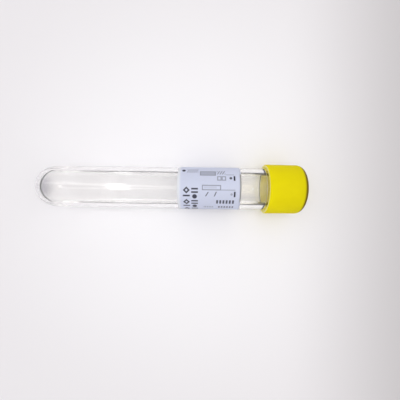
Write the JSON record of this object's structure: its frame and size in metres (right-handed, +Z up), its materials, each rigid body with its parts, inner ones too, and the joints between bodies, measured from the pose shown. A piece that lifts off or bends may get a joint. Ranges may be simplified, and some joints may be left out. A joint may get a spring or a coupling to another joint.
{
  "type": "specimen swab tube",
  "caption": "Clear round-bottom specimen tube lying on its side, with a screw cap, sealing liner, wrapped label and transport medium inside.",
  "frame": {"origin": "under the middle of the part's bounding box, on the surface that it lies on", "axes": "+Z up; +X from the round end to the cap along the lying tube, whose own axis rises 1.0 degree towards the cap; +Y across it"},
  "size_m": [0.1024, 0.0188, 0.0189],
  "materials": {
    "clear_plastic": "clear, smooth moulded",
    "cap_plastic": "satin yellow, smooth moulded",
    "liner": "matt white foam disc",
    "label_film": "printed film, satin",
    "medium": "clear colourless liquid"
  },
  "bodies": {
    "tube": {"tube": "clear_plastic", "label": "label_film", "transport_medium": "medium"},
    "liner": {"cap_liner": "liner"},
    "cap": {"cap": "cap_plastic"}
  },
  "joints": [
    {"name": "cap_lift", "type": "slide", "parent": "tube", "child": "liner", "axis": [0.9998, 0, 0.0174], "range_m": [0, 0.006]},
    {"name": "cap_turn", "type": "hinge", "parent": "liner", "child": "cap", "pos_m": [0.04883, 0, 0.0096], "axis": [0.9998, 0, 0.0174], "range_deg": [0, 720]}
  ],
  "couplings": [
    {"joint": "cap_lift", "follows": "cap_turn", "m_per_rad": 0.00047746}
  ]
}
